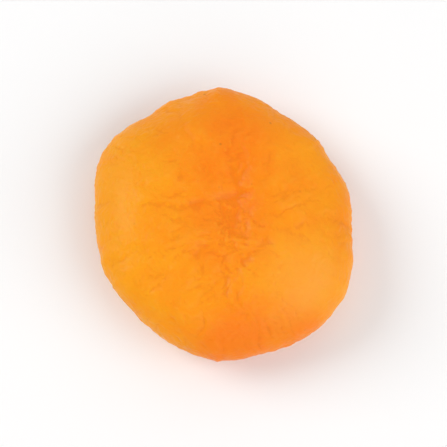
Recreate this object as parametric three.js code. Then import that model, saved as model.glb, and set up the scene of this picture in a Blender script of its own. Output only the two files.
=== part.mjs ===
// A whole dried apricot, stoned through its stem end, pressed to a plump disc and dried.
// It is one piece of skin and flesh, and it lies on its back face, on a small flat spot.
//
// Units are millimetres, +Z is up. The origin is the middle of the fruit's plan, on the surface it rests on.
// +Y points to the stem end and +X to the right of it, seen from above.
//
// The skin starts as an even ball of triangles. Each point is moved to the fruit's form by its azimuth round
// the rim and its latitude, from the middle of the back face over the rim to the middle of the front face,
// and then in or out along the form's normal by the sum of the hollows, folds and creases there.

import * as THREE from "three";
import { ImprovedNoise } from "three/addons/math/ImprovedNoise.js";
import { mergeVertices } from "three/addons/utils/BufferGeometryUtils.js";

const { abs, asin, atan2, cos, exp, hypot, max, PI, sign, sin } = Math;
const { degToRad, radToDeg, smoothstep } = THREE.MathUtils;

// Driving dimensions of the plump disc
const MEAN_RADIUS = 20.7;
const FRONT_HEIGHT = 8.3;
const BACK_HEIGHT = 6.9;
const FULLNESS = 2.3; // 2 is an ellipse in section, more is squarer
const SKIN_DETAIL = 19; // splits along each edge of the first ball's 20 faces

// Lobes of the outline: how many go round, their share of the mean radius, the azimuth of one peak
const OUTLINE_LOBES = [
  { count: 2, share: 0.05, peak: -54 },
  { count: 4, share: 0.01, peak: -31 },
  { count: 6, share: 0.014, peak: 26 },
];
const STEM_TIP = { azimuth: 92, height: 0.7, spread: 8 };

// The disc's middle plane rises and falls round the rim, as the flesh warped in drying
const RIM_WAVES = [
  { count: 2, height: 0.6, peak: 20 },
  { count: 3, height: 0.35, peak: 75 },
];

// Where the stone lay, the front face has sunk to a shallow hollow
const HOLLOW = { x: 0.7, y: -1.8, radius: 9, depth: 1.5 };

// The suture, a shallow valley down the front face from the stem tip into the hollow
const SUTURE = { x: 1.2, sway: 0.9, swayLength: 22, width: 2.6, depth: 0.75, fade: { from: -9, to: -1 } };

// Plump places of the front face, with a negative height where it sinks. The smallest is a knot in the hollow
const CHEEKS = [
  { x: 11, y: -9.5, radius: 7, height: 0.55 },
  { x: -12.5, y: 1, radius: 7.5, height: 0.45 },
  { x: -5, y: -13, radius: 6, height: 0.3 },
  { x: 11, y: 9, radius: 6, height: -0.35 },
  { x: -1, y: -3.4, radius: 1.9, height: 0.4 },
];

// Short folds across the hollow, each a groove between two points of the front face
const FOLD_WIDTH = 0.85;
const FOLDS = [
  { start: [-4.4, 0.8], end: [-1, 1.7], depth: 0.25 },
  { start: [-1, 1.7], end: [3.2, 2.9], depth: 0.45 },
  { start: [6.2, -4.9], end: [3, -7.9], depth: 0.4 },
  { start: [0.8, -9.2], end: [0.4, -12.6], depth: 0.35 },
];

// The mouth the stone was squeezed out of, pressed shut along the rim at the stem end
const MOUTH = { azimuth: 96, halfAngle: 33, fade: { from: 0, to: 18 }, width: 0.75, depth: 1.5 };
const MOUTH_LINE = { drop: 0.9, sway: 0.6, swayCount: 7 };
const LIPS = { offset: 1.8, width: 1.2, height: 0.35 };

// Creases run where a noise crosses zero. Each kind has its depth and its width in units of the noise, and
// how far the noise moves with each millimetre, or over one turn round the hollow or the rim
const RAY_CURL = 2; // rays bend into even skin within this reach of the hollow's middle
const FRONT_RAYS = {
  depth: 0.3,
  width: 0.24,
  turns: 2.4,
  perReach: 0.13,
  seed: 11.4,
  near: { from: 2.5, to: 5.5 },
  far: { from: 10, to: 17 },
};
const BACK_RAYS = {
  depth: 0.65,
  width: 0.22,
  turns: 3.1,
  perReach: 0.06,
  seed: 23.9,
  near: { from: 7, to: 10 },
  far: { from: 15.5, to: 24 },
};
const CROSS_CREASES = { depth: 0.2, width: 0.2, perWidth: 0.3, perLength: 0.48, seed: 7.3 };
const RIM_PUCKERS = { depth: 0.4, width: 0.28, turns: 4.4, perHeight: 0.08, seed: 3.7 };
const SMOOTH_PATCHES = { turns: 1.4, fade: { from: -0.3, to: 0.4 } };
const LUMPS = { height: 0.4, perLength: 0.13, seed: 5.1 };

// How far up a face each relief starts and is whole, from 0 at the rim to 1 in the middle of the face
const FRONT_FADE = { from: 0.15, to: 0.75 };
const BACK_FADE = { from: 0.1, to: 0.6 };
const RIM_FADE = { from: 0.45, to: 0.95 };

// The flesh flattens where it rests: how far it is pressed, and how soft the edge of the flat spot is
const PRESSED = 0.7;
const PRESS_SOFTNESS = 0.4;

const grain = new ImprovedNoise();

// A smooth bump, 1 at no offset and nearly gone at twice the width.
const bell = (offset, width) => exp(-((offset / width) ** 2));

// 0 before the fade and 1 after it.
const faded = (value, fade) => smoothstep(value, fade.from, fade.to);

// 1 at the bottom of a crease and 0 on the smooth skin between creases.
const crease = (x, y, z, width) => bell(grain.noise(x, y, z), width);

// The smaller angle between two azimuths, in degrees.
const turnBetween = (a, b) => abs(((((a - b) % 360) + 540) % 360) - 180);

// Waves round the fruit, summed at an azimuth: size is the name of a wave's own height or share.
const wavesAt = (azimuth, waves, size) =>
  waves.reduce((sum, wave) => sum + wave[size] * cos(degToRad(wave.count * (azimuth - wave.peak))), 0);

const rimHeight = (azimuth) => wavesAt(azimuth, RIM_WAVES, "height");

function outlineRadius(azimuth) {
  const tip = STEM_TIP.height * bell(turnBetween(azimuth, STEM_TIP.azimuth), STEM_TIP.spread);
  return MEAN_RADIUS * (1 + wavesAt(azimuth, OUTLINE_LOBES, "share")) + tip;
}

// Creases that run outwards from the hollow like rays.
function rays(place, kind) {
  const east = place.x - HOLLOW.x;
  const north = place.y - HOLLOW.y;
  const reach = hypot(east, north);
  const turns = kind.turns / (reach + RAY_CURL);
  const groove = crease(turns * east + kind.seed, turns * north, kind.perReach * reach, kind.width);
  return kind.depth * groove * faded(reach, kind.near) * (1 - faded(reach, kind.far));
}

function foldDepth(place, fold) {
  const start = new THREE.Vector3(...fold.start, place.z);
  const end = new THREE.Vector3(...fold.end, place.z);
  const nearest = new THREE.Line3(start, end).closestPointToPoint(place, true, new THREE.Vector3());
  return fold.depth * bell(nearest.distanceTo(place), FOLD_WIDTH);
}

function cheekHeight(place, cheek) {
  return cheek.height * bell(hypot(place.x - cheek.x, place.y - cheek.y), cheek.radius);
}

function frontRelief(place) {
  const hollow = bell(hypot(place.x - HOLLOW.x, place.y - HOLLOW.y), HOLLOW.radius);
  const sutureLine = SUTURE.x + SUTURE.sway * sin((2 * PI * place.y) / SUTURE.swayLength);
  const suture = bell(place.x - sutureLine, SUTURE.width) * faded(place.y, SUTURE.fade);
  const cross = crease(
    CROSS_CREASES.perWidth * place.x,
    CROSS_CREASES.perLength * place.y,
    CROSS_CREASES.seed,
    CROSS_CREASES.width,
  );
  const cheeks = CHEEKS.reduce((sum, cheek) => sum + cheekHeight(place, cheek), 0);
  const folds = FOLDS.reduce((deepest, fold) => max(deepest, foldDepth(place, fold)), 0);
  const sunk = (HOLLOW.depth + CROSS_CREASES.depth * cross) * hollow + SUTURE.depth * suture;
  return cheeks - sunk - folds - rays(place, FRONT_RAYS);
}

// The slit of the mouth and its lips, above and below the line that it is shut along.
function mouthRelief(place, azimuth) {
  const sway = MOUTH_LINE.sway * sin(degToRad(MOUTH_LINE.swayCount * azimuth));
  const above = place.z - rimHeight(azimuth) - sway + MOUTH_LINE.drop;
  const lips = bell(above - LIPS.offset, LIPS.width) + bell(above + LIPS.offset, LIPS.width);
  return LIPS.height * lips - MOUTH.depth * bell(above, MOUTH.width);
}

function rimRelief(place, azimuth) {
  const east = cos(degToRad(azimuth));
  const north = sin(degToRad(azimuth));
  const pucker = crease(
    RIM_PUCKERS.turns * east,
    RIM_PUCKERS.turns * north,
    RIM_PUCKERS.perHeight * place.z + RIM_PUCKERS.seed,
    RIM_PUCKERS.width,
  );
  // The rim is smooth in places, and puckered most beside the mouth
  const patch = grain.noise(SMOOTH_PATCHES.turns * east, SMOOTH_PATCHES.turns * north, RIM_PUCKERS.seed);
  const puckered = faded(patch, SMOOTH_PATCHES.fade);
  const shut = faded(MOUTH.halfAngle - turnBetween(azimuth, MOUTH.azimuth), MOUTH.fade);
  return shut * mouthRelief(place, azimuth) - RIM_PUCKERS.depth * pucker * max(puckered, shut);
}

// The place on the skin for a direction out from the ball's middle.
function skinPoint(direction) {
  const azimuth = radToDeg(atan2(direction.y, direction.x));
  const radius = outlineRadius(azimuth);
  const height = direction.z > 0 ? FRONT_HEIGHT : BACK_HEIGHT;
  const across = cos(asin(direction.z)) ** (2 / FULLNESS);
  const up = sign(direction.z) * abs(direction.z) ** (2 / FULLNESS);

  const place = new THREE.Vector3(
    radius * across * cos(degToRad(azimuth)),
    radius * across * sin(degToRad(azimuth)),
    height * up + rimHeight(azimuth) * across ** 2,
  );
  const normal = new THREE.Vector3(direction.x / radius, direction.y / radius, direction.z / height);

  const lump = place.clone().multiplyScalar(LUMPS.perLength).addScalar(LUMPS.seed);
  const relief =
    faded(up, FRONT_FADE) * frontRelief(place) -
    faded(-up, BACK_FADE) * rays(place, BACK_RAYS) +
    (1 - faded(abs(up), RIM_FADE)) * rimRelief(place, azimuth) +
    LUMPS.height * grain.noise(lump.x, lump.y, lump.z);
  return place.addScaledVector(normal.normalize(), relief);
}

// Height above the surface once the flesh is pressed flat on it, with a soft edge to the flat spot.
function pressedHeight(height) {
  const blend = max(PRESS_SOFTNESS - abs(height), 0) / PRESS_SOFTNESS;
  return max(height, 0) + (PRESS_SOFTNESS * blend * blend) / 4;
}

function driedApricot() {
  const ball = new THREE.IcosahedronGeometry(1, SKIN_DETAIL);
  ball.deleteAttribute("normal");
  ball.deleteAttribute("uv");
  const skin = mergeVertices(ball);
  const points = skin.getAttribute("position");
  const point = new THREE.Vector3();
  for (let i = 0; i < points.count; i++) {
    point.copy(skinPoint(point.fromBufferAttribute(points, i).normalize()));
    points.setXYZ(i, point.x, point.y, point.z);
  }
  skin.computeBoundingBox();
  const middle = skin.boundingBox.getCenter(new THREE.Vector3());
  skin.translate(-middle.x, -middle.y, -skin.boundingBox.min.z - PRESSED);
  for (let i = 0; i < points.count; i++) points.setZ(i, pressedHeight(points.getZ(i)));
  skin.computeVertexNormals();

  const flesh = new THREE.MeshStandardMaterial({ color: 0xfa9a24, roughness: 0.42, metalness: 0 });
  const mesh = new THREE.Mesh(skin, flesh);
  mesh.name = "dried_apricot";
  return mesh;
}

const apricot = new THREE.Group();
apricot.add(driedApricot());

export default apricot;
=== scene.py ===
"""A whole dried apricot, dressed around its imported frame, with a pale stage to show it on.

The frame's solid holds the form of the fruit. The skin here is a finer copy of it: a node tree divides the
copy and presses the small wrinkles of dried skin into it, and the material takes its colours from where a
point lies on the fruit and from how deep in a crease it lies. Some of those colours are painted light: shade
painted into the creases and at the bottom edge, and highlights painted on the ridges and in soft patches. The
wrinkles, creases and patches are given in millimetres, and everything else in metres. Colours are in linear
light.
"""

import math

import bmesh
import bpy
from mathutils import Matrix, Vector


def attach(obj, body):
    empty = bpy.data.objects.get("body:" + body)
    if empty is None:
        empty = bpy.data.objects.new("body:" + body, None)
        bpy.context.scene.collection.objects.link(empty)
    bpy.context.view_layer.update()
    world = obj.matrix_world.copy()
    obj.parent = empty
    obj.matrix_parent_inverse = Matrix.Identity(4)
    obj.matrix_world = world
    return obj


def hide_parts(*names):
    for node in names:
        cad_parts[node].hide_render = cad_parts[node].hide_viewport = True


bl_info = {
    "name": "Whole Dried Apricot",
    "version": (1, 0, 0),
    "blender": (4, 5, 0),
    "location": "3D View > Sidebar > Apricot",
    "description": "Makes the skin of a whole dried apricot and a pale stage to show it on",
    "category": "Add Mesh",
}

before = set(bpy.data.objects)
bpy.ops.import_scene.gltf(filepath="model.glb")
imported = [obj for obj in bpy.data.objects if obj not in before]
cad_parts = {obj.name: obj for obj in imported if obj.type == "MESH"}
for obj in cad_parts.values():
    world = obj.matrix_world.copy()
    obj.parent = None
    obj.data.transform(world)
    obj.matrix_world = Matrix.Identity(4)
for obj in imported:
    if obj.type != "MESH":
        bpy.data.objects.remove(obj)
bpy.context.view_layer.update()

NODE = "dried_apricot"
MM = 0.001


# Node trees


class Graph:
    """Writes formulas as nodes. Apart from feed, add and operate, each method gives back a socket."""

    def __init__(self, tree):
        self.tree = tree

    def feed(self, socket, value):
        """Link a result to a socket, or set a plain value on it."""
        if isinstance(value, bpy.types.NodeSocket):
            self.tree.links.new(value, socket)
        else:
            socket.default_value = value

    def add(self, kind, inputs=None, **settings):
        """A new node. inputs feeds its sockets by name, and settings are the node's own."""
        node = self.tree.nodes.new(kind)
        for name, value in settings.items():
            setattr(node, name, value)
        for name, value in (inputs or {}).items():
            self.feed(node.inputs[name], value)
        return node

    def operate(self, kind, operation, values, **settings):
        """A new math node, its sockets fed in order."""
        node = self.add(kind, operation=operation, **settings)
        for socket, value in zip(node.inputs, values):
            self.feed(socket, value)
        return node

    def math(self, operation, *values, clamp=False):
        return self.operate("ShaderNodeMath", operation, values, use_clamp=clamp).outputs["Value"]

    def vector(self, operation, *values):
        return self.operate("ShaderNodeVectorMath", operation, values).outputs["Vector"]

    def length(self, vector):
        return self.operate("ShaderNodeVectorMath", "LENGTH", (vector,)).outputs["Value"]

    def dot(self, a, b):
        return self.operate("ShaderNodeVectorMath", "DOT_PRODUCT", (a, b)).outputs["Value"]

    def scaled(self, vector, factor):
        node = self.add("ShaderNodeVectorMath", {"Vector": vector, "Scale": factor}, operation="SCALE")
        return node.outputs["Vector"]

    def split(self, vector):
        node = self.add("ShaderNodeSeparateXYZ", {"Vector": vector})
        return node.outputs["X"], node.outputs["Y"], node.outputs["Z"]

    def join(self, x, y, z):
        return self.add("ShaderNodeCombineXYZ", {"X": x, "Y": y, "Z": z}).outputs["Vector"]

    def product(self, first, *others):
        for value in others:
            first = self.math("MULTIPLY", first, value)
        return first

    def total(self, first, *others):
        for value in others:
            first = self.math("ADD", first, value)
        return first

    def fade(self, value, start, end, low=0.0, high=1.0):
        """low before start and high after end."""
        inputs = {"Value": value, "From Min": start, "From Max": end, "To Min": low, "To Max": high}
        return self.add("ShaderNodeMapRange", inputs, interpolation_type="SMOOTHSTEP").outputs["Result"]

    def bell(self, offset, width):
        """A smooth bump, 1 at no offset and nearly gone at twice the width."""
        share = self.math("DIVIDE", offset, width)
        return self.math("POWER", 1 / math.e, self.math("MULTIPLY", share, share))

    def noise(self, vector, scale, detail=0.0):
        """A smooth noise from 0 to 1, mostly near one half."""
        inputs = {"Vector": vector, "Scale": scale, "Detail": detail}
        return self.add("ShaderNodeTexNoise", inputs).outputs["Fac"]

    def ridges(self, vector, scale=1.0, detail=0.0):
        """0 along sharp valleys, rising to rounded ridges of about one half between them."""
        return self.math("ABSOLUTE", self.math("MULTIPLY_ADD", self.noise(vector, scale, detail), 2.0, -1.0))

    def layered_ridges(self, vector, finer):
        """Ridges with finer ones on them. finer holds the scale and the share of each finer kind."""
        height = self.ridges(vector)
        for scale, share in finer:
            height = self.math("MULTIPLY_ADD", self.ridges(vector, scale), share, height)
        return height

    def spot(self, place, middle, radius):
        """A soft round patch seen from above, 1 at its middle."""
        x, y, _ = self.split(place)
        east, north = self.math("SUBTRACT", x, middle[0]), self.math("SUBTRACT", y, middle[1])
        return self.bell(self.length(self.join(east, north, 0.0)), radius)

    def mix(self, factor, a, b):
        """Colour a where the factor is 0 and b where it is 1."""
        # The node has sockets of the same name for each kind of data, so they are found by identifier
        node = self.add("ShaderNodeMix", data_type="RGBA")
        for name, value in (("Factor_Float", factor), ("A_Color", a), ("B_Color", b)):
            socket = next(s for s in node.inputs if s.identifier == name)
            self.feed(socket, value)
        return next(s for s in node.outputs if s.identifier == "Result_Color")


# The skin's node tree. Places are in millimetres, with +Y to the stem end and +X to the right of it seen from
# above. A pair of numbers named for an edge, reach, depth, height or choice is where a fade starts and ends

# The middle of the hollow
HOLLOW = (0.7, -1.8)

# Depths that are also settings of the skin
RAY_DEPTH = 0.42
NET_DEPTH = 0.22
PUCKER_DEPTH = 0.3

SKIN_INPUTS = (
    ("Levels", "NodeSocketInt", 2),
    ("Ray depth", "NodeSocketFloat", RAY_DEPTH),
    ("Ray turns", "NodeSocketFloat", 4.0),
    ("Cross depth", "NodeSocketFloat", 0.3),
    ("Fold depth", "NodeSocketFloat", 0.14),
    ("Net depth", "NodeSocketFloat", NET_DEPTH),
    ("Net size", "NodeSocketFloat", 1.25),
    ("Pucker depth", "NodeSocketFloat", PUCKER_DEPTH),
    ("Pucker turns", "NodeSocketFloat", 12.0),
    ("Slit depth", "NodeSocketFloat", 0.7),
    ("Scar depth", "NodeSocketFloat", 0.3),
    ("Blossom end", "NodeSocketVector", (0.0, -21.6, 5.6)),
    ("Seed", "NodeSocketFloat", 4.2),
)

# The wrinkles' places are bent this often in a millimetre, and this far, so that none runs straight
BEND_SCALE = 0.25
BEND_SIZE = 4.0
NOISE_MIDDLE = (0.5, 0.5, 0.5)

# Rays out of the hollow. They grow out of even skin within the core, and each runs for about the length.
# Finer ones lie on them, given as scale and share
RAY_CORE = 1.5
RAY_LENGTH = 9.0
RAY_REACH = (12.0, 19.0)
FINER_RAYS = ((2.3, 0.5), (4.6, 0.16))

# Short creases across the suture: their length and width, and how far from the hollow they lie
CROSS_SIZE = (3.2, 1.0)
CROSS_REACH = (4.5, 11.0)

# The same short folds as in the solid, from one point to the next, which fine grooves follow. The grooves
# bend with the wrinkles, but only by a share of how far those do
FOLDS = (
    ((-4.4, 0.8), (-1.0, 1.7)),
    ((-1.0, 1.7), (3.2, 2.9)),
    ((6.2, -4.9), (3.0, -7.9)),
    ((0.8, -9.2), (0.4, -12.6)),
)
FOLD_WIDTH = 0.55
FOLD_BEND = 0.4

# Upright puckers: how tall each is, how far from the middle of the fruit they lie, and the finer ones on them
PUCKER_HEIGHT = 9.0
RIM_REACH = (13.0, 18.5)
FINER_PUCKERS = ((1.9, 0.4),)

# The front face starts at this height, and the flat spot under the fruit ends at this one
FACE_HEIGHT = (4.5, 9.0)
FLAT_SPOT_EDGE = (0.05, 0.9)

# Wrinkles are shallow in some patches and deep in others, from the first strength to the second
PATCH_SCALE = 0.13
PATCH_EDGE = (0.36, 0.62)
PATCH_STRENGTH = (0.25, 1.05)

# The mouth's slit and the insides of its lips: how far the skin lies there below its surroundings, when those
# are smoothed this many times, and how far towards the stem end the mouth lies
NOTCH_DEPTH = (0.2, 0.55)
LIP_DEPTH = (-0.1, 0.2)
NOTCH_BLUR = 40
MOUTH_REACH = (12.0, 15.0)

# The scar at the blossom end, which is where the fruit reaches furthest against this direction
BLOSSOM_SIDE = Vector((0.0, 1.0, 0.4))
SCAR_WIDTH = 0.55

# How many times the skin is smoothed to measure the creases that the material reads
FINE_BLUR = 11
BROAD_BLUR = 90

# A place times LEVEL loses its height. No point of the skin is left lower than LOWEST, whose first two
# numbers lie far outside it. NEVER_ZERO is added to a distance that something is divided by
LEVEL = (1.0, 1.0, 0.0)
LOWEST = (-1.0, -1.0, 0.0)
NEVER_ZERO = 0.001


def distance_to_fold(graph, x, y, start, end):
    """How far a point is from the straight line between two points, seen from above."""
    run = Vector(end) - Vector(start)
    east = graph.math("SUBTRACT", x, start[0])
    north = graph.math("SUBTRACT", y, start[1])
    along = graph.total(graph.product(east, run.x), graph.product(north, run.y))
    share = graph.math("DIVIDE", along, run.length_squared, clamp=True)
    off_x = graph.math("SUBTRACT", east, graph.product(share, run.x))
    off_y = graph.math("SUBTRACT", north, graph.product(share, run.y))
    return graph.length(graph.join(off_x, off_y, 0.0))


def sunk_depth(graph, position, normal, iterations):
    """How far a point lies below the smoothed skin round it, in millimetres."""
    # The node has sockets of the same name for each kind of data, so they are found by type
    smooth = graph.add("GeometryNodeBlurAttribute", {"Iterations": iterations}, data_type="FLOAT_VECTOR")
    graph.feed(next(s for s in smooth.inputs if s.type == "VECTOR"), position)
    blurred = next(s for s in smooth.outputs if s.type == "VECTOR")
    return graph.product(graph.dot(graph.vector("SUBTRACT", blurred, position), normal), 1 / MM)


def scar_share(graph, place, blossom_end):
    """1 in the middle of the small scar at the blossom end."""
    return graph.bell(graph.length(graph.vector("SUBTRACT", place, blossom_end)), SCAR_WIDTH)


def ray_height(graph, bent, reach, on_face, value):
    """Wrinkles that run out of the hollow like rays."""
    x, y, _ = graph.split(bent)
    turns = graph.math("DIVIDE", value["Ray turns"], graph.math("ADD", reach, RAY_CORE))
    place = graph.join(
        graph.product(turns, graph.math("SUBTRACT", x, HOLLOW[0])),
        graph.product(turns, graph.math("SUBTRACT", y, HOLLOW[1])),
        graph.math("DIVIDE", reach, RAY_LENGTH),
    )
    place = graph.vector("ADD", place, graph.join(value["Seed"], 0.0, 0.0))
    area = graph.product(graph.fade(reach, *RAY_REACH, low=1.0, high=0.0), on_face)
    return graph.product(graph.layered_ridges(place, FINER_RAYS), area, value["Ray depth"])


def cross_height(graph, bent, reach, on_face, value):
    """Short creases across the suture, most of them in the hollow."""
    place = graph.vector("DIVIDE", bent, (*CROSS_SIZE, CROSS_SIZE[0]))
    area = graph.product(graph.fade(reach, *CROSS_REACH, low=1.0, high=0.0), on_face)
    return graph.product(graph.ridges(place), area, value["Cross depth"])


def fold_depth(graph, place, bend, on_face, value):
    """Fine grooves along the folds."""
    x, y, _ = graph.split(graph.vector("ADD", place, graph.scaled(bend, FOLD_BEND)))
    nearest = None
    for start, end in FOLDS:
        distance = distance_to_fold(graph, x, y, start, end)
        nearest = distance if nearest is None else graph.math("MINIMUM", nearest, distance)
    return graph.product(graph.bell(nearest, FOLD_WIDTH), on_face, value["Fold depth"])


def pucker_height(graph, place, bent, value):
    """Upright wrinkles round the rim."""
    x, y, z = graph.split(place)
    bent_x, bent_y, _ = graph.split(bent)
    from_middle = graph.math("ADD", graph.length(graph.join(x, y, 0.0)), NEVER_ZERO)
    around = graph.math("DIVIDE", value["Pucker turns"], from_middle)
    pucker_place = graph.join(
        graph.product(around, bent_x), graph.product(around, bent_y), graph.math("DIVIDE", z, PUCKER_HEIGHT)
    )
    puckers = graph.layered_ridges(pucker_place, FINER_PUCKERS)
    return graph.product(puckers, graph.fade(from_middle, *RIM_REACH), value["Pucker depth"])


def relief_height(graph, place, value):
    """How far the wrinkles stand out at a place, in millimetres. value gives the tree's input by its name."""
    seeded = graph.vector("ADD", place, graph.join(value["Seed"], value["Seed"], value["Seed"]))
    drift = graph.add("ShaderNodeTexNoise", {"Vector": seeded, "Scale": BEND_SCALE, "Detail": 1.0})
    bend = graph.scaled(graph.vector("SUBTRACT", drift.outputs["Color"], NOISE_MIDDLE), BEND_SIZE)
    bent = graph.vector("ADD", place, bend)

    from_hollow = graph.vector("SUBTRACT", bent, (*HOLLOW, 0.0))
    reach = graph.length(graph.vector("MULTIPLY", from_hollow, LEVEL))
    on_face = graph.fade(graph.split(place)[2], *FACE_HEIGHT)
    wrinkles = graph.total(
        ray_height(graph, bent, reach, on_face, value),
        cross_height(graph, bent, reach, on_face, value),
        pucker_height(graph, place, bent, value),
    )
    strength = graph.fade(graph.noise(seeded, PATCH_SCALE, detail=1.0), *PATCH_EDGE, *PATCH_STRENGTH)
    net_place = graph.scaled(bent, graph.math("DIVIDE", 1.0, value["Net size"]))
    net = graph.product(graph.ridges(net_place, detail=1.0), value["Net depth"])
    scar = graph.product(scar_share(graph, place, value["Blossom end"]), value["Scar depth"])
    sunk = graph.total(fold_depth(graph, place, bend, on_face, value), scar)
    return graph.math("SUBTRACT", graph.total(graph.product(wrinkles, strength), net), sunk)


def skin_tree():
    """The node tree that divides the solid's copy, wrinkles it and measures its creases."""
    tree = bpy.data.node_groups.new("Dried apricot skin", "GeometryNodeTree")
    tree.interface.new_socket("Geometry", in_out="INPUT", socket_type="NodeSocketGeometry")
    for name, kind, default in SKIN_INPUTS:
        socket = tree.interface.new_socket(name, in_out="INPUT", socket_type=kind)
        socket.default_value = default
    tree.interface.new_socket("Material", in_out="INPUT", socket_type="NodeSocketMaterial")
    tree.interface.new_socket("Geometry", in_out="OUTPUT", socket_type="NodeSocketGeometry")

    graph = Graph(tree)
    given = graph.add("NodeGroupInput").outputs
    value = {name: given[name] for name, _, _ in SKIN_INPUTS}

    divided = graph.add(
        "GeometryNodeSubdivisionSurface", {"Mesh": given["Geometry"], "Level": value["Levels"]}
    ).outputs["Mesh"]
    position = graph.add("GeometryNodeInputPosition").outputs["Position"]
    normal = graph.add("GeometryNodeInputNormal").outputs["Normal"]
    place = graph.scaled(position, 1 / MM)

    # The slit goes straight in between the lips, where no wrinkle stands out, or the lips would cut into each
    # other. Nothing is pressed into the flat spot, and nothing goes below the surface under the fruit
    _, north, height = graph.split(place)
    free = graph.fade(height, *FLAT_SPOT_EDGE)
    mouth = graph.fade(north, *MOUTH_REACH)
    sunk = sunk_depth(graph, position, normal, NOTCH_BLUR)
    slit = graph.product(graph.fade(sunk, *NOTCH_DEPTH), mouth, value["Slit depth"], free, MM)
    outwards = graph.vector("NORMALIZE", graph.vector("MULTIPLY", position, LEVEL))
    lips = graph.product(graph.fade(sunk, *LIP_DEPTH), mouth)
    relief = graph.product(relief_height(graph, place, value), graph.math("SUBTRACT", 1.0, lips))
    raised = graph.scaled(normal, graph.product(relief, free, MM))
    offset = graph.vector("SUBTRACT", raised, graph.scaled(outwards, slit))
    pressed = graph.add("GeometryNodeSetPosition", {"Geometry": divided, "Offset": offset})
    lifted = graph.vector("MAXIMUM", position, LOWEST)
    above = graph.add(
        "GeometryNodeSetPosition", {"Geometry": pressed.outputs["Geometry"], "Position": lifted}
    )

    # The material reads how deep in a crease a point lies, over a fine and a broad stretch of the skin, and
    # paints shade into the creases and highlights onto the ridges from it
    geometry = above.outputs["Geometry"]
    for name, iterations in (("fine_crease", FINE_BLUR), ("broad_crease", BROAD_BLUR)):
        depth = sunk_depth(graph, position, normal, iterations)
        inputs = {"Geometry": geometry, "Name": name, "Value": depth}
        geometry = graph.add("GeometryNodeStoreNamedAttribute", inputs).outputs["Geometry"]

    smoothed = graph.add("GeometryNodeSetShadeSmooth", {"Geometry": geometry})
    real = graph.add("GeometryNodeRealizeInstances", {"Geometry": smoothed.outputs["Geometry"]})
    painted = graph.add(
        "GeometryNodeSetMaterial", {"Geometry": real.outputs["Geometry"], "Material": given["Material"]}
    )
    out = graph.add("NodeGroupOutput")
    graph.feed(out.inputs["Geometry"], painted.outputs["Geometry"])
    return tree


# The flesh's material

# What makes the flesh orange: the share it starts from, then mottling as its scale, detail and strength, then
# the painted shade, as deeper orange, that a crease adds for each millimetre of its depth
LEAST_ORANGE = -0.3
MOTTLING = ((0.16, 2.0, 0.9), (0.9, 3.0, 0.2))
CREASE_SHADE_ORANGE = 0.3

# Soft round patches of deeper orange, or of amber where the strength is negative: middle, radius, strength.
# They are partly the flesh's own tone and partly painted light: the deeper orange at the bottom edge is
# painted shade, and the amber on the left side and at the lower right is painted light and a painted
# highlight
TONE_AND_PAINTED_LIGHT_PATCHES = (
    ((2.0, 13.0), 8.5, 0.55),
    ((2.0, 3.0), 8.0, 0.3),
    ((1.0, -4.5), 8.0, 0.25),
    ((2.0, -22.0), 6.5, 1.1),
    ((13.0, -19.0), 5.0, 1.0),
    ((20.0, 6.0), 5.0, 0.25),
    ((20.0, -4.0), 5.0, 0.3),
    ((12.0, -10.0), 5.5, -0.45),
    ((-18.0, 3.0), 6.0, -0.5),
    ((-14.0, -9.0), 7.0, -0.25),
)

# A painted highlight: the soft round patch at the lower right where the skin is paler, standing in for a soft
# reflection: middle, radius, strength
PAINTED_HIGHLIGHT_PATCH = ((12.0, -10.5), 5.5, 0.6)

# How deep the creases are that take painted shade, what share of the broad measure counts with the fine one,
# and how strongly the creases take their painted shade and the ridges their painted highlight
CREASE_EDGE = (0.0, 0.09)
BROAD_CREASES = 0.2
CREASE_SHADE_STRENGTH = 0.27
RIDGE_HIGHLIGHT_STRENGTH = 0.12

# Brown specks: how many cells a millimetre holds, which of them have a speck, its size in its cell, and how
# brown the specks and the scar are
SPECK_SCALE = 0.4
SPECK_CHOICE = (0.55, 0.8)
SPECK_EDGE = (0.04, 0.12)
SPECK_STRENGTH = 0.45
SCAR_STRENGTH = 0.75

# The satin skin: how much its roughness varies, and the finest wrinkles, which are too small for the mesh
ROUGHNESS_SCALE = 0.7
ROUGHNESS_RANGE = 0.3
FINEST_SCALE = 1.3
FINEST_DEPTH = 0.08

# The shader's values that are the same all over. The flesh glows most in red, and hardly at all in blue
FINISH = (
    ("Specular IOR Level", 0.15),
    ("Coat Weight", 0.08),
    ("Coat Roughness", 0.3),
    ("Subsurface Weight", 0.5),
    ("Subsurface Radius", (1.0, 0.32, 0.08)),
)


def orange_share(graph, place, broad):
    """How orange the flesh is, from 0 for amber to 1, with painted shade and light in its patches and
    creases.
    """
    share = LEAST_ORANGE
    for scale, detail, strength in MOTTLING:
        share = graph.math("MULTIPLY_ADD", graph.noise(place, scale, detail), strength, share)
    for middle, radius, strength in TONE_AND_PAINTED_LIGHT_PATCHES:
        share = graph.math("MULTIPLY_ADD", graph.spot(place, middle, radius), strength, share)
    return graph.math("MULTIPLY_ADD", broad, CREASE_SHADE_ORANGE, share, clamp=True)


def painted_highlight_share(graph, place):
    """How strongly the painted highlight shows in its one soft patch."""
    middle, radius, strength = PAINTED_HIGHLIGHT_PATCH
    return graph.product(graph.spot(place, middle, radius), strength)


def speck_share(graph, place):
    """How brown the skin is for its specks."""
    cells = graph.add("ShaderNodeTexVoronoi", {"Vector": place, "Scale": SPECK_SCALE})
    chosen = graph.fade(graph.split(cells.outputs["Color"])[0], *SPECK_CHOICE)
    speck = graph.fade(cells.outputs["Distance"], *SPECK_EDGE, low=1.0, high=0.0)
    return graph.product(speck, chosen, SPECK_STRENGTH)


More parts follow.
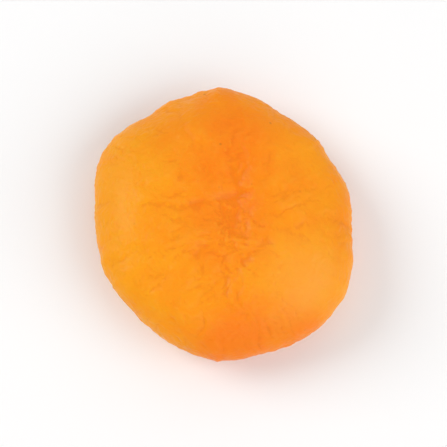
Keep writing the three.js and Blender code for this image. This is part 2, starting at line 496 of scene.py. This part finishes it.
def flesh_material(settings, blossom_end):
    """Amber to orange flesh, deeper down the suture, with painted shade in the creases, painted highlights on
    the ridges and in one soft patch, and a satin skin.
    """
    material = bpy.data.materials.new("Dried apricot flesh")
    material.use_nodes = True
    graph = Graph(material.node_tree)
    shader = material.node_tree.nodes["Principled BSDF"]
    place = graph.scaled(graph.add("ShaderNodeTexCoord").outputs["Object"], 1 / MM)
    fine = graph.add("ShaderNodeAttribute", attribute_name="fine_crease").outputs["Fac"]
    broad = graph.add("ShaderNodeAttribute", attribute_name="broad_crease").outputs["Fac"]

    # The patches in the orange share paint shade and light as well as the flesh's own tone
    body = graph.mix(orange_share(graph, place, broad), (*settings.amber, 1.0), (*settings.orange, 1.0))
    # Painted shade: the creases are mixed towards the darker crease colour
    crease = graph.fade(graph.math("MULTIPLY_ADD", broad, BROAD_CREASES, fine), *CREASE_EDGE)
    crease_shaded = graph.mix(graph.product(crease, CREASE_SHADE_STRENGTH), body, (*settings.crease, 1.0))
    # Painted highlights: the ridges and one soft patch are mixed towards the pale colour
    ridge_highlight = graph.fade(graph.product(fine, -1.0), *CREASE_EDGE)
    pale = graph.math("MAXIMUM", graph.product(ridge_highlight, RIDGE_HIGHLIGHT_STRENGTH), painted_highlight_share(graph, place))
    highlighted = graph.mix(pale, crease_shaded, (*settings.pale, 1.0))
    scar = graph.product(scar_share(graph, place, blossom_end), SCAR_STRENGTH)
    brown = graph.math("MAXIMUM", speck_share(graph, place), scar)
    graph.feed(shader.inputs["Base Color"], graph.mix(brown, highlighted, (*settings.speck, 1.0)))

    smoothest = settings.roughness - ROUGHNESS_RANGE / 2
    uneven = graph.noise(place, ROUGHNESS_SCALE, detail=3.0)
    rough = graph.math("MULTIPLY_ADD", uneven, ROUGHNESS_RANGE, smoothest)
    graph.feed(shader.inputs["Roughness"], rough)

    finest = graph.ridges(place, FINEST_SCALE, detail=1.0)
    bump = graph.add("ShaderNodeBump", {"Height": finest, "Strength": 1.0, "Distance": FINEST_DEPTH * MM})
    graph.feed(shader.inputs["Normal"], bump.outputs["Normal"])

    for name, value in FINISH:
        shader.inputs[name].default_value = value
    shader.inputs["Subsurface Scale"].default_value = settings.glow_depth
    return material


# Settings


class SkinSettings(bpy.types.PropertyGroup):
    """Depths of the wrinkles, and colours and finish of the flesh."""

    ray_depth: bpy.props.FloatProperty(
        name="Ray depth",
        description="Depth of the fine wrinkles that run out of the hollow",
        default=RAY_DEPTH * MM,
        min=0.0,
        unit="LENGTH",
    )
    net_depth: bpy.props.FloatProperty(
        name="Net depth",
        description="Depth of the net of fine wrinkles all over the skin",
        default=NET_DEPTH * MM,
        min=0.0,
        unit="LENGTH",
    )
    pucker_depth: bpy.props.FloatProperty(
        name="Pucker depth",
        description="Depth of the upright wrinkles round the rim",
        default=PUCKER_DEPTH * MM,
        min=0.0,
        unit="LENGTH",
    )
    # Where the patches put amber on the left side and at the lower right, it is partly painted light
    amber: bpy.props.FloatVectorProperty(
        name="Amber",
        description="Colour of the flesh at the thin rim and on the plump cheeks",
        default=(0.97, 0.355, 0.005),
        size=3,
        min=0.0,
        max=1.0,
        subtype="COLOR",
    )
    orange: bpy.props.FloatVectorProperty(
        name="Orange",
        description="Colour of the flesh down the suture and round the hollow",
        default=(0.95, 0.22, 0.002),
        size=3,
        min=0.0,
        max=1.0,
        subtype="COLOR",
    )
    # The crease colour is painted shade
    crease: bpy.props.FloatVectorProperty(
        name="Crease",
        description="Colour at the bottom of the creases",
        default=(0.74, 0.165, 0.002),
        size=3,
        min=0.0,
        max=1.0,
        subtype="COLOR",
    )
    # The pale colour is a painted highlight
    pale: bpy.props.FloatVectorProperty(
        name="Pale",
        description="Colour of stretched skin, along the tops of the wrinkles and in one soft patch",
        default=(0.98, 0.37, 0.045),
        size=3,
        min=0.0,
        max=1.0,
        subtype="COLOR",
    )
    speck: bpy.props.FloatVectorProperty(
        name="Speck",
        description="Colour of the small brown specks in the skin and of the scar at the blossom end",
        default=(0.5, 0.13, 0.01),
        size=3,
        min=0.0,
        max=1.0,
        subtype="COLOR",
    )
    roughness: bpy.props.FloatProperty(
        name="Roughness",
        description="Mean roughness of the satin skin",
        default=0.45,
        min=0.0,
        max=1.0,
        subtype="FACTOR",
    )
    glow_depth: bpy.props.FloatProperty(
        name="Glow depth",
        description="How far red light travels inside the flesh",
        default=1.3 * MM,
        min=0.0,
        unit="LENGTH",
    )


class StageSettings(bpy.types.PropertyGroup):
    """Size and colour of the floor, and where the camera stands."""

    floor_size: bpy.props.FloatProperty(
        name="Floor size",
        description="Length of each side of the pale floor",
        default=2.4,
        min=0.1,
        unit="LENGTH",
    )
    floor_colour: bpy.props.FloatVectorProperty(
        name="Floor colour",
        description="Colour of the pale floor",
        default=(0.93, 0.93, 0.93),
        size=3,
        min=0.0,
        max=1.0,
        subtype="COLOR",
    )
    elevation: bpy.props.FloatProperty(
        name="Camera elevation",
        description="Angle of the camera above the horizon",
        default=math.radians(76.0),
        min=0.0,
        max=math.pi / 2,
        unit="ROTATION",
    )
    distance: bpy.props.FloatProperty(
        name="Camera distance",
        description="From the camera to the middle of the fruit",
        default=0.29,
        min=0.05,
        unit="LENGTH",
    )


# The fruit

# Corners of the frame's loose triangles that lie within this distance are one corner
WELD_REACH = MM / 1000


def welded_copy(mesh):
    """A copy of the frame's mesh with its loose triangles joined, and with no material."""
    copy = mesh.copy()
    welded = bmesh.new()
    welded.from_mesh(copy)
    bmesh.ops.remove_doubles(welded, verts=welded.verts, dist=WELD_REACH)
    welded.to_mesh(copy)
    welded.free()
    copy.materials.clear()
    return copy


class APRICOT_OT_skin(bpy.types.Operator):
    """Make the wrinkled skin of the dried apricot over its solid"""

    bl_idname = "apricot.make_skin"
    bl_label = "Dried Apricot Skin"

    def execute(self, context):
        settings = context.scene.apricot_skin
        mesh = welded_copy(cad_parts[NODE].data)
        blossom_end = min((vertex.co for vertex in mesh.vertices), key=BLOSSOM_SIDE.dot) / MM
        skin = bpy.data.objects.new("apricot_skin", mesh)
        context.scene.collection.objects.link(skin)

        tree = skin_tree()
        chosen = {
            "Ray depth": settings.ray_depth / MM,
            "Net depth": settings.net_depth / MM,
            "Pucker depth": settings.pucker_depth / MM,
            "Blossom end": blossom_end,
            "Material": flesh_material(settings, blossom_end),
        }
        modifier = skin.modifiers.new("Skin", "NODES")
        modifier.node_group = tree
        for item in tree.interface.items_tree:
            if item.in_out == "INPUT" and item.name in chosen:
                modifier[item.identifier] = chosen[item.name]

        depsgraph = context.evaluated_depsgraph_get()
        plain = bpy.data.meshes.new_from_object(
            skin.evaluated_get(depsgraph), preserve_all_data_layers=True, depsgraph=depsgraph
        )
        skin.modifiers.remove(modifier)
        skin.data = plain
        if len(plain.polygons) == 0:
            raise RuntimeError("the skin's node tree made no faces")
        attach(skin, "root")
        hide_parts(NODE)
        return {"FINISHED"}


# The stage

# Each light's name, the compass bearing, height and width that it shines from in degrees, and its watts a
# square metre
SOFT_LIGHTS = (
    ("Left soft light", 290.0, 38.0, 38.0, 1.38),
    ("Right soft light", 110.0, 38.0, 50.0, 1.1),
    ("Front soft light", 165.0, 36.0, 50.0, 0.7),
    ("Back soft light", 20.0, 45.0, 50.0, 0.3),
)
WORLD_STRENGTH = 0.385
PAPER_ROUGHNESS = 0.8

# The camera's lens in millimetres, the nearest that it sees, and the place that it looks at
LENS = 150.0
CLIP_START = 0.01
AIM = (0.0, 0.0, 0.005)


class APRICOT_OT_stage(bpy.types.Operator):
    """Make the pale floor, the soft lights and the camera that looks down on the fruit"""

    bl_idname = "apricot.make_stage"
    bl_label = "Pale Stage"

    def execute(self, context):
        settings = context.scene.apricot_stage
        self.floor(context, settings)
        self.lights(context)
        self.camera(context, settings)
        context.scene.view_settings.view_transform = "Standard"
        return {"FINISHED"}

    def floor(self, context, settings):
        half = settings.floor_size / 2
        mesh = bpy.data.meshes.new("floor")
        corners = [(-half, -half, 0), (half, -half, 0), (half, half, 0), (-half, half, 0)]
        mesh.from_pydata(corners, [], [(0, 1, 2, 3)])
        paper = bpy.data.materials.new("Pale paper")
        paper.use_nodes = True
        shader = paper.node_tree.nodes["Principled BSDF"]
        shader.inputs["Base Color"].default_value = (*settings.floor_colour, 1.0)
        shader.inputs["Roughness"].default_value = PAPER_ROUGHNESS
        mesh.materials.append(paper)
        floor = bpy.data.objects.new("floor", mesh)
        context.scene.collection.objects.link(floor)

    def lights(self, context):
        for name, bearing, height, width, strength in SOFT_LIGHTS:
            light = bpy.data.lights.new(name, "SUN")
            light.angle = math.radians(width)
            light.energy = strength
            lamp = bpy.data.objects.new(name, light)
            turn, lift = math.radians(bearing), math.radians(height)
            level = math.cos(lift)
            source = Vector((math.sin(turn) * level, math.cos(turn) * level, math.sin(lift)))
            lamp.rotation_euler = (-source).to_track_quat("-Z", "Y").to_euler()
            context.scene.collection.objects.link(lamp)
        world = bpy.data.worlds.new("Studio")
        world.use_nodes = True
        background = world.node_tree.nodes["Background"]
        background.inputs["Color"].default_value = (1.0, 1.0, 1.0, 1.0)
        background.inputs["Strength"].default_value = WORLD_STRENGTH
        context.scene.world = world

    def camera(self, context, settings):
        camera = bpy.data.cameras.new("Camera")
        camera.lens = LENS
        camera.clip_start = CLIP_START
        eye = bpy.data.objects.new("Camera", camera)
        back = Vector((0.0, -math.cos(settings.elevation), math.sin(settings.elevation)))
        eye.location = Vector(AIM) + back * settings.distance
        eye.rotation_euler = (-back).to_track_quat("-Z", "Y").to_euler()
        context.scene.collection.objects.link(eye)
        context.scene.camera = eye


class APRICOT_PT_panel(bpy.types.Panel):
    bl_label = "Dried Apricot"
    bl_idname = "APRICOT_PT_panel"
    bl_space_type = "VIEW_3D"
    bl_region_type = "UI"
    bl_category = "Apricot"

    def draw(self, context):
        for settings, operator in (
            (context.scene.apricot_skin, APRICOT_OT_skin),
            (context.scene.apricot_stage, APRICOT_OT_stage),
        ):
            box = self.layout.box()
            for name in settings.__annotations__:
                box.prop(settings, name)
            box.operator(operator.bl_idname)


CLASSES = (SkinSettings, StageSettings, APRICOT_OT_skin, APRICOT_OT_stage, APRICOT_PT_panel)


def register():
    for kind in CLASSES:
        bpy.utils.register_class(kind)
    bpy.types.Scene.apricot_skin = bpy.props.PointerProperty(type=SkinSettings)
    bpy.types.Scene.apricot_stage = bpy.props.PointerProperty(type=StageSettings)


def unregister():
    del bpy.types.Scene.apricot_stage
    del bpy.types.Scene.apricot_skin
    for kind in reversed(CLASSES):
        bpy.utils.unregister_class(kind)


def main():
    """Make the fruit and its stage."""
    register()
    bpy.ops.apricot.make_skin()
    bpy.ops.apricot.make_stage()


if __name__ == "__main__":
    main()
